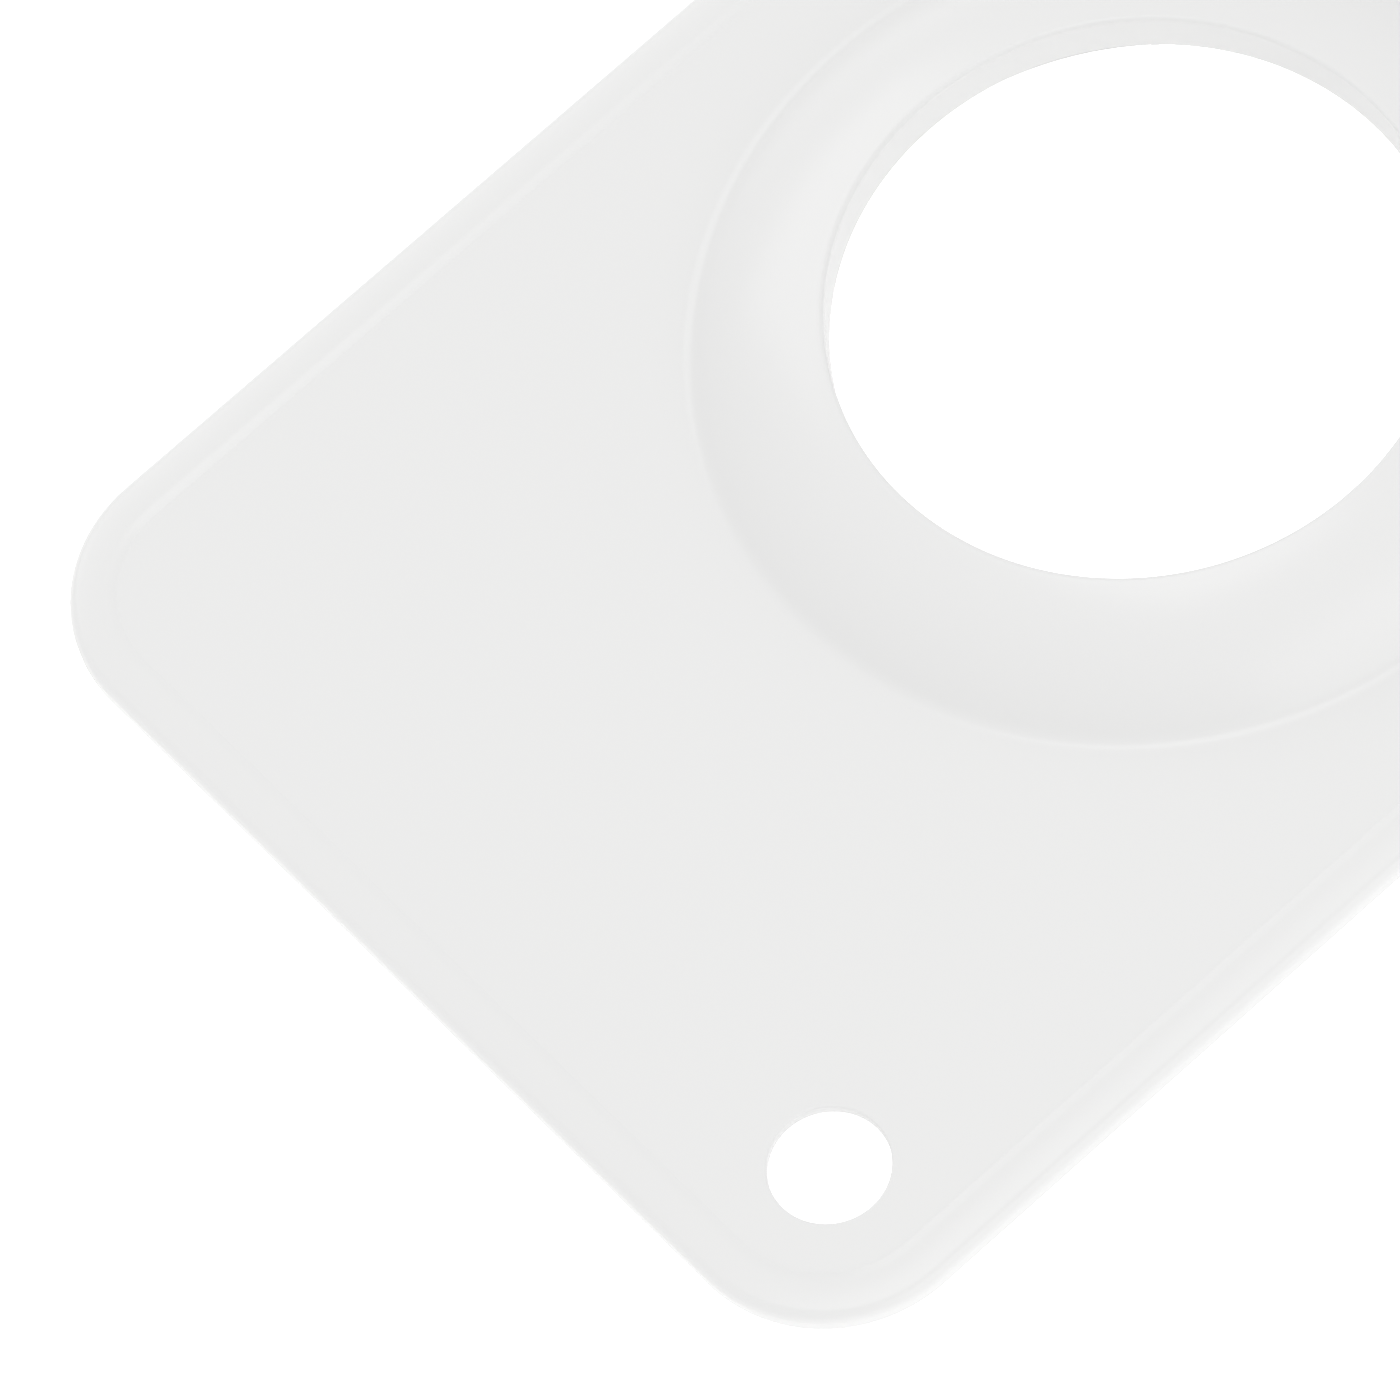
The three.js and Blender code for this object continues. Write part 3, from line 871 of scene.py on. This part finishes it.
def race_profile(bearing, low, high, outer, groove_up):
    """A flat ring with a round groove that the balls run in, as (radius, height)."""
    inner = 2 * PITCH_RADIUS - outer
    face = high if groove_up else low
    groove = bearing.ball_radius + bearing.groove_gap
    reach = math.degrees(math.acos(abs(BALL_HEIGHT - face) / groove))
    straight_down = 270 if groove_up else 90
    run = arc((PITCH_RADIUS, BALL_HEIGHT), groove, straight_down + reach, straight_down - reach, RIM_STEPS)
    edge = bearing.edge_round
    corners = rounded([(inner, low), (outer, low), (outer, high), (inner, high)], edge)
    steps = len(corners) // 4
    if groove_up:
        return [*corners[:3 * steps], *run, *corners[3 * steps:]]
    return [*corners[:steps], *run, *corners[steps:]]


class TURNTABLE_OT_races(bpy.types.Operator):
    """Make the two grooved steel rings that the balls run between"""

    bl_idname = "turntable.races"
    bl_label = "Races"
    bl_options = {"REGISTER", "UNDO"}

    def execute(self, context):
        bearing = context.scene.bearing_sizes
        material = material_for("race_steel", context.scene.finishes.race)
        lower = race_profile(bearing, lower_low.z, lower_high.z, lower_high.x, True)
        upper = race_profile(bearing, upper_low.z, upper_high.z, upper_high.x, False)
        rings = (
            ("lower_race_ring", lower, "base", "lower_race"),
            ("upper_race_ring", upper, "turning_tray", "upper_race"))
        for name, profile, rides_on, node in rings:
            make_piece(name, body(turned, profile, RING_STEPS), rides_on, node, material)
        return {"FINISHED"}


def ball_body(bm, radius, centre):
    """A ball of even faces: a cube's surface, divided and pushed out to the radius."""
    bmesh.ops.create_cube(bm, size=2 * radius)
    bmesh.ops.subdivide_edges(bm, edges=bm.edges, cuts=BALL_CUTS, use_grid_fill=True)
    for vertex in bm.verts:
        vertex.co = Vector(centre) + vertex.co.normalized() * radius


class TURNTABLE_OT_balls(bpy.types.Operator):
    """Make the bearing balls"""

    bl_idname = "turntable.balls"
    bl_label = "Balls"
    bl_options = {"REGISTER", "UNDO"}

    def execute(self, context):
        radius = context.scene.bearing_sizes.ball_radius
        material = material_for("ball_steel", context.scene.finishes.ball)
        for node in BALLS:
            bm = body(ball_body, radius, middle(node))
            make_piece(f"steel_{node}", bm, "cage", node, material)
        return {"FINISHED"}


def edge_profile(radius, low, high, edge, inward):
    """A rounded rim at a radius, from its upper to its lower flat. The body lies outside it if inward."""
    side = 1 if inward else -1
    upper = [(radius + side * (edge - x), high - edge + z) for x, z in arc((0, 0), edge, 90, 0, UNDER_STEPS)]
    lower = [(radius + side * (edge - x), low + edge + z) for x, z in arc((0, 0), edge, 0, -90, UNDER_STEPS)]
    flat = radius + side * (edge + NARROW_STRIP)
    return [(flat, high), *upper, *lower, (flat, low)]


def pierced_ring(bm, outer, inner, holes):
    """A flat ring with holes. Each rim is a profile from the upper face to the lower one."""
    rims = [hole_strip(bm, outer, RING_STEPS), hole_strip(bm, inner, RING_STEPS)]
    rims += [hole_strip(bm, profile, steps, centre) for profile, steps, centre in holes]
    fill(bm, *[rim[0] for rim in rims])
    fill(bm, *[rim[1] for rim in rims])


class TURNTABLE_OT_cage(bpy.types.Operator):
    """Make the nylon cage that keeps the balls apart"""

    bl_idname = "turntable.cage"
    bl_label = "Ball cage"
    bl_options = {"REGISTER", "UNDO"}

    def execute(self, context):
        bearing = context.scene.bearing_sizes
        edge = bearing.edge_round / 2
        low, high = cage_low.z, cage_high.z
        outer = edge_profile(cage_high.x, low, high, edge, False)
        inner = edge_profile(2 * PITCH_RADIUS - cage_high.x, low, high, edge, True)
        pocket = edge_profile(bearing.ball_radius + bearing.pocket_gap, low, high, edge, True)
        pockets = [(pocket, HOLE_STEPS, middle(ball).xy) for ball in BALLS]
        bm = body(pierced_ring, outer, inner, pockets)
        material = material_for("cage_nylon", context.scene.finishes.cage)
        make_piece("nylon_cage", bm, "cage", "ball_cage", material)
        return {"FINISHED"}


# ------------------------------------------------------------------ base ring, pads, retaining ring, screws

def base_body(bm, bearing):
    """Channel with a flange around it, and a recess underneath for each pad."""
    low, high = base_low.z, base_high.z
    race_outer = lower_high.x
    channel_outer = race_outer + bearing.seat_gap
    channel_inner = 2 * PITCH_RADIUS - channel_outer
    outer = channel_outer + bearing.base_wall
    inner = channel_inner - bearing.base_wall
    flange = base_high.x
    flange_low = high - bearing.flange_thickness
    floor = lower_low.z
    corners = [
        (outer, low), (outer, flange_low), (flange, flange_low), (flange, high), (channel_outer, high),
        (channel_outer, floor), (channel_inner, floor), (channel_inner, high), (inner, high), (inner, low)]
    profile = rounded(corners, bearing.edge_round)
    flat_outer = (profile[0][0] - bearing.edge_round, low)
    flat_inner = (profile[-1][0] + bearing.edge_round, low)
    channel = hole_strip(bm, [flat_outer, *profile, flat_inner], RING_STEPS)
    rims = [channel[0], channel[1]]
    recess_top = low + bearing.pad_recess
    recess_radius = pad_radius() + bearing.seat_gap
    edge = bearing.edge_round / 2
    mouth = arc((recess_radius + edge, low + edge), edge, 270, 180, UNDER_STEPS)
    for pad in PADS:
        rim = hole_strip(bm, [*mouth, (recess_radius, recess_top)], HOLE_STEPS, middle(pad).xy)
        rims.append(rim[0])
        bm.faces.new(rim[1])
    fill(bm, *rims)


def pad_radius():
    """Half the width of the pad whose box is the widest."""
    widths = [high.y - low.y for low, high in map(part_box, PADS)]
    return max(widths) / 2


class TURNTABLE_OT_base_ring(bpy.types.Operator):
    """Make the base ring that stays still on the table"""

    bl_idname = "turntable.base_ring"
    bl_label = "Base ring"
    bl_options = {"REGISTER", "UNDO"}

    def execute(self, context):
        bm = body(base_body, context.scene.bearing_sizes)
        material = material_for("base_plastic", context.scene.finishes.base)
        make_piece("base_channel", bm, "base", "base_ring", material)
        return {"FINISHED"}


class TURNTABLE_OT_pads(bpy.types.Operator):
    """Make the non-slip pads under the base ring"""

    bl_idname = "turntable.pads"
    bl_label = "Foot pads"
    bl_options = {"REGISTER", "UNDO"}

    def execute(self, context):
        edge = context.scene.bearing_sizes.edge_round
        material = material_for("pad_rubber", context.scene.finishes.pad)
        radius = pad_radius()
        for node in PADS:
            low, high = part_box(node)
            corners = [(0, low.z), (radius, low.z), (radius, high.z), (0, high.z)]
            profile = rounded(corners, [0, edge, edge / 2, 0])
            bm = body(turned, profile, HOLE_STEPS, middle(node).xy)
            make_piece(f"rubber_{node}", bm, "base", node, material)
        return {"FINISHED"}


def counterbore_profile(bearing):
    """Screw hole in the retaining ring, from its upper face to the counterbore's mouth."""
    low, high = retainer_low.z, retainer_high.z
    hole = bearing.screw_shank_radius + bearing.seat_gap
    bore = bearing.screw_head_radius + bearing.seat_gap
    seat = low + bearing.screw_head_height
    edge = bearing.edge_round / 4
    upper = arc((hole + edge, high - edge), edge, 90, 180, UNDER_STEPS)
    lower = arc((bore + edge, low + edge), edge, 180, 270, UNDER_STEPS)
    return [(hole + edge + NARROW_STRIP, high), *upper, (hole, seat), (bore, seat), *lower,
            (bore + edge + NARROW_STRIP, low)]


class TURNTABLE_OT_retaining_ring(bpy.types.Operator):
    """Make the ring that hooks under the base ring's flange"""

    bl_idname = "turntable.retaining_ring"
    bl_label = "Retaining ring"
    bl_options = {"REGISTER", "UNDO"}

    def execute(self, context):
        bearing = context.scene.bearing_sizes
        low, high = retainer_low.z, retainer_high.z
        base_outer = lower_high.x + bearing.seat_gap + bearing.base_wall
        outer = edge_profile(retainer_high.x, low, high, bearing.edge_round, False)
        inner = edge_profile(base_outer + bearing.running_gap, low, high, bearing.edge_round, True)
        holes = [(counterbore_profile(bearing), HOLE_STEPS, middle(screw).xy) for screw in SCREWS]
        bm = body(pierced_ring, outer, inner, holes)
        material = material_for("base_plastic", context.scene.finishes.base)
        make_piece("retainer", bm, "turning_tray", "retaining_ring", material)
        return {"FINISHED"}


THREAD_ROWS = 72
THREAD_TAPER = 1.2              # turns over which the thread runs out at the tip
TIP_SHARE = 0.3                 # radius of the tip, as a share of the core's
RIDGE_WIDTH = 0.32              # half a thread's width, as a share of the pitch
HEAD_EDGE_SHARE = 0.35          # round of the head's edge, as a share of the head's height
HEAD_EDGE_START = -60           # degrees at which the dome meets that round
CROWN_STEPS = 4
RECESS_LENGTH = 0.58            # half a bar of the cross, as a share of the head's radius
RECESS_WIDTH = 0.16
RECESS_DEPTH = 0.75             # as a share of the head's height
RECESS_END_LENGTH = 0.55        # at the bottom of the cross, as shares of its mouth
RECESS_END_WIDTH = 0.6
SCREW_TURN = 37                 # degrees that each screw is turned further than the one before it


def head_profile(bearing, low):
    """A pan head that faces down, as (radius, height), from the middle of its dome to the shank."""
    radius = bearing.screw_head_radius
    seat = low + bearing.screw_head_height
    edge = HEAD_EDGE_SHARE * bearing.screw_head_height
    shoulder = arc((radius - edge, low + edge), edge, HEAD_EDGE_START, 0, UNDER_STEPS)
    crown_radius, crown_height = shoulder[0]
    crown = []
    for i in range(1, CROWN_STEPS):
        share = i / CROWN_STEPS
        crown.append((crown_radius * share, crown_height * share ** 2 + low * (1 - share ** 2)))
    return [*crown, *shoulder, (radius, seat), (bearing.screw_core_radius, seat)]


def thread_rows(bearing, low, high, centre):
    """Circles of a threaded shank: their radius rises and falls along a helix, and the end tapers."""
    taper = THREAD_TAPER * bearing.thread_pitch
    depth = bearing.screw_shank_radius - bearing.screw_core_radius
    rows = []
    for row in range(1, THREAD_ROWS + 1):
        height = low + (high - low) * row / THREAD_ROWS
        fullness = min(1.0, (high - height) / taper)
        core = bearing.screw_core_radius * (TIP_SHARE + (1 - TIP_SHARE) * fullness)
        points = []
        for i in range(HOLE_STEPS):
            turn = ((height - low) / bearing.thread_pitch - i / HOLE_STEPS) % 1.0
            ridge = max(0.0, 1 - abs(turn - 0.5) / RIDGE_WIDTH) * fullness
            points.append(polar(core + depth * ridge, math.tau * i / HOLE_STEPS, height, centre))
        rows.append(points)
    return rows


def screw_body(bm, bearing, low, high, centre):
    """Head and threaded shank as one closed skin."""
    head = [circle(radius, height, HOLE_STEPS, centre) for radius, height in head_profile(bearing, low)]
    thread = thread_rows(bearing, low + bearing.screw_head_height, high, centre)
    first, last = strip(bm, head + thread)
    bm.faces.new(first)
    bm.faces.new(last)
    bmesh.ops.triangulate(bm, faces=bm.faces)


def cross_recess(bm, bearing, low, centre, angle):
    """One bar of the driver's cross: wide at its mouth, narrow and short at its end."""
    mouth = RECESS_LENGTH * bearing.screw_head_radius
    half = RECESS_WIDTH * bearing.screw_head_radius
    start = low - bearing.screw_head_height / 2
    end = low + RECESS_DEPTH * bearing.screw_head_height
    levels = ((start, 1.0, 1.0), (end, RECESS_END_LENGTH, RECESS_END_WIDTH))
    along = Vector((math.cos(angle), math.sin(angle), 0))
    across = Vector((-along.y, along.x, 0))
    rows = []
    for height, length, width in levels:
        origin = Vector((*centre, height))
        rows.append([origin + along * x * mouth * length + across * y * half * width
                     for x, y in ((-1, -1), (1, -1), (1, 1), (-1, 1))])
    first, last = strip(bm, rows)
    bm.faces.new(first)
    bm.faces.new(last)


class TURNTABLE_OT_screws(bpy.types.Operator):
    """Make the pan head screws that hold the retaining ring"""

    bl_idname = "turntable.screws"
    bl_label = "Screws"
    bl_options = {"REGISTER", "UNDO"}

    def execute(self, context):
        bearing = context.scene.bearing_sizes
        material = material_for("screw_steel", context.scene.finishes.screw)
        for i, node in enumerate(SCREWS):
            low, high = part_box(node)
            centre = middle(node).xy
            # Screws end up turned by whatever angle they came tight at.
            turn = math.radians(SCREW_TURN * i)
            bars = [
                body(cross_recess, bearing, low.z, centre, turn + quarter)
                for quarter in (0, math.pi / 2)]
            bm = boolean(body(screw_body, bearing, low.z, high.z, centre), bars, "DIFFERENCE")
            make_piece(f"pan_head_screw_{i + 1}", bm, "turning_tray", node, material)
        return {"FINISHED"}


# ------------------------------------------------------------------ stage

FLOOR_STEPS = 96
FLOOR_RADIUS = 12.0
SENSOR_WIDTH = 36


def white_sweep(settings):
    """The floor: a wide round sheet that stays white in the picture, as a cut-out background does."""
    bm = bmesh.new()
    bmesh.ops.create_circle(bm, cap_ends=True, segments=FLOOR_STEPS, radius=FLOOR_RADIUS)
    floor = loose_object("floor", bm, bpy.context.scene.collection)
    finish = Finish("floor_white", settings.floor_colour, roughness=0.6)
    finish.tint(finish.span(finish.noise(scale=0.8, detail=2), 0, 1), scaled(settings.floor_colour, 0.995),
                settings.floor_colour)
    finish.shader.inputs["Emission Color"].default_value = (1, 1, 1, 1)
    seen = finish.node("ShaderNodeLightPath").outputs["Is Camera Ray"]
    glow = finish.node(
        "ShaderNodeMapRange", Value=seen, To_Min=settings.floor_light, To_Max=settings.floor_glow)
    finish.tree.links.new(glow.outputs["Result"], finish.shader.inputs["Emission Strength"])
    finish.shader.inputs["Specular IOR Level"].default_value = 0.1
    # The sweep is clear from below, so that the underside of the turntable can be looked at.
    from_below = finish.node("ShaderNodeNewGeometry").outputs["Backfacing"]
    clear = finish.node("ShaderNodeBsdfTransparent").outputs["BSDF"]
    either = finish.node("ShaderNodeMixShader", Fac=from_below)
    finish.tree.links.new(finish.shader.outputs["BSDF"], either.inputs[1])
    finish.tree.links.new(clear, either.inputs[2])
    finish.tree.links.new(either.outputs["Shader"], finish.tree.nodes["Material Output"].inputs["Surface"])
    floor.data.materials.append(finish.material)


def softbox(name, place, size, power):
    """A square light, aimed at the tray."""
    light = bpy.data.lights.new(name, "AREA")
    light.shape = "SQUARE"
    light.size = size
    light.energy = power
    lamp = bpy.data.objects.new(name, light)
    lamp.location = place
    lamp.rotation_euler = (-lamp.location).to_track_quat("-Z", "Y").to_euler()
    bpy.context.scene.collection.objects.link(lamp)


def softboxes(settings):
    """One softbox along each long side of the tray, and one above it."""
    for name, side in (("softbox_left", 1), ("softbox_right", -1)):
        place = (0, side * settings.side_distance, settings.side_height)
        softbox(name, place, settings.side_size, settings.side_power)
    softbox("softbox_top", (0, 0, settings.top_height), settings.top_size, settings.top_power)


def even_sky(settings):
    world = bpy.data.worlds.new("even_sky")
    world.use_nodes = True
    background = world.node_tree.nodes["Background"]
    background.inputs["Color"].default_value = (1, 1, 1, 1)
    background.inputs["Strength"].default_value = settings.sky
    bpy.context.scene.world = world


def camera(settings):
    """The camera looks down on the end of the tray that has the finger hole."""
    lens = bpy.data.cameras.new("camera")
    lens.lens = settings.lens
    lens.sensor_width = SENSOR_WIDTH
    obj = bpy.data.objects.new("camera", lens)
    azimuth, elevation, roll = settings.azimuth, settings.elevation, settings.roll
    back = Vector((math.sin(azimuth) * math.cos(elevation), -math.cos(azimuth) * math.cos(elevation),
                   math.sin(elevation)))
    level = Vector((0, 0, 1)).cross(back).normalized()
    upright = back.cross(level)
    right = level * math.cos(roll) + upright * math.sin(roll)
    up = upright * math.cos(roll) - level * math.sin(roll)
    turn = Matrix((right, up, back)).transposed()
    place = Vector(settings.look_at) + back * settings.distance
    obj.matrix_world = Matrix.Translation(place) @ turn.to_4x4()
    bpy.context.scene.collection.objects.link(obj)
    bpy.context.scene.camera = obj


class TURNTABLE_OT_stage(bpy.types.Operator):
    """Make the white floor, the lights and the camera"""

    bl_idname = "turntable.stage"
    bl_label = "Stage"
    bl_options = {"REGISTER", "UNDO"}

    def execute(self, context):
        settings = context.scene.stage_settings
        white_sweep(settings)
        even_sky(settings)
        softboxes(settings)
        camera(settings)
        context.scene.view_settings.view_transform = "Standard"
        return {"FINISHED"}


# ------------------------------------------------------------------ panel and registration

class TURNTABLE_PT_panel(bpy.types.Panel):
    """Sizes, colours and the buttons that make each piece"""

    bl_idname = "TURNTABLE_PT_panel"
    bl_label = "Turntable Tray"
    bl_space_type = "VIEW_3D"
    bl_region_type = "UI"
    bl_category = "Turntable"

    def draw(self, context):
        scene = context.scene
        for operator in OPERATORS:
            self.layout.operator(operator.bl_idname)
        for group in (scene.tray_sizes, scene.bearing_sizes, scene.finishes, scene.stage_settings):
            box = self.layout.box()
            for name in group.__annotations__:
                box.prop(group, name)


OPERATORS = (
    TURNTABLE_OT_tray,
    TURNTABLE_OT_races,
    TURNTABLE_OT_balls,
    TURNTABLE_OT_cage,
    TURNTABLE_OT_base_ring,
    TURNTABLE_OT_pads,
    TURNTABLE_OT_retaining_ring,
    TURNTABLE_OT_screws,
    TURNTABLE_OT_stage,
)
GROUPS = {
    "tray_sizes": TraySizes,
    "bearing_sizes": BearingSizes,
    "finishes": Finishes,
    "stage_settings": StageSettings,
}


def register():
    for group in GROUPS.values():
        bpy.utils.register_class(group)
    for operator in OPERATORS:
        bpy.utils.register_class(operator)
    bpy.utils.register_class(TURNTABLE_PT_panel)
    for name, group in GROUPS.items():
        setattr(bpy.types.Scene, name, PointerProperty(type=group))


def unregister():
    for name in GROUPS:
        delattr(bpy.types.Scene, name)
    bpy.utils.unregister_class(TURNTABLE_PT_panel)
    for operator in reversed(OPERATORS):
        bpy.utils.unregister_class(operator)
    for group in reversed(GROUPS.values()):
        bpy.utils.unregister_class(group)


def main():
    register()
    bpy.ops.turntable.tray()
    bpy.ops.turntable.races()
    bpy.ops.turntable.balls()
    bpy.ops.turntable.cage()
    bpy.ops.turntable.base_ring()
    bpy.ops.turntable.pads()
    bpy.ops.turntable.retaining_ring()
    bpy.ops.turntable.screws()
    bpy.ops.turntable.stage()


if __name__ == "__main__":
    main()
